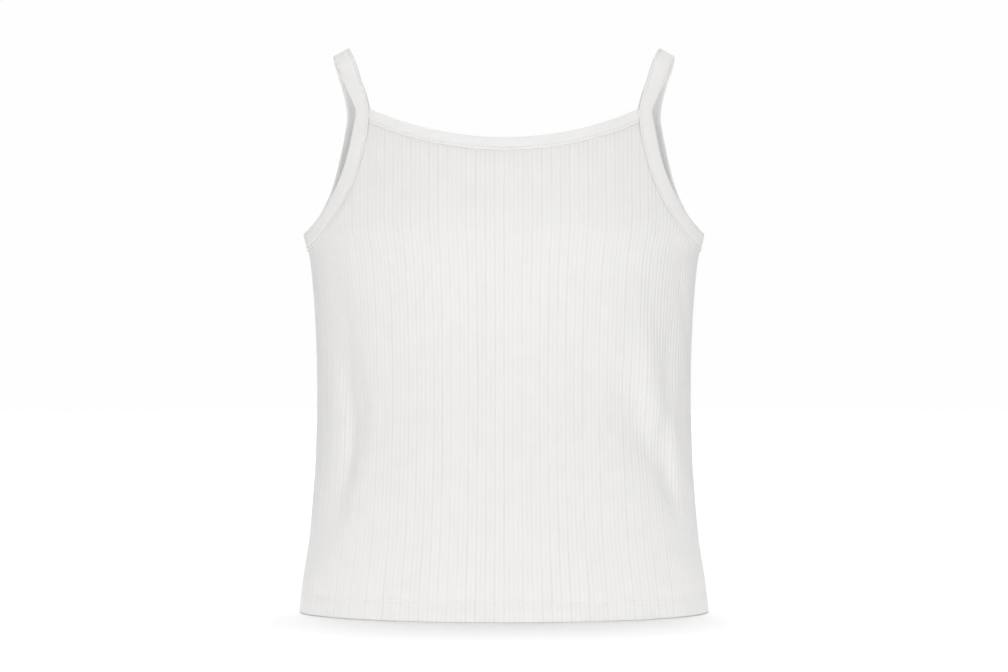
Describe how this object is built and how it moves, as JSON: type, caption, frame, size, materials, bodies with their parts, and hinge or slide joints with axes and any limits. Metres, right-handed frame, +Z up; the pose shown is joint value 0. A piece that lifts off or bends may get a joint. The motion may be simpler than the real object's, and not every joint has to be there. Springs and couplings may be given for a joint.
{
  "type": "ribbed camisole tank top",
  "caption": "Cropped ribbed-knit camisole top, open at neck, arms and hem, with bound edges that run on as narrow shoulder straps.",
  "frame": {"origin": "midway between the undersides of the two straps where they cross the wearer's shoulders", "axes": "+Z up the body, -Y towards the front, +X towards the wearer's left"},
  "size_m": [0.307, 0.1855, 0.4217],
  "materials": {
    "rib_knit": "matte white cotton rib, upright wales",
    "binding_knit": "matte white cotton binding, fine crosswise ribs"
  },
  "bodies": {
    "root": {"front_panel": "rib_knit", "back_panel": "rib_knit", "front_neck_binding": "binding_knit", "back_neck_binding": "binding_knit", "left_strap_binding": "binding_knit", "right_strap_binding": "binding_knit"}
  },
  "joints": []
}
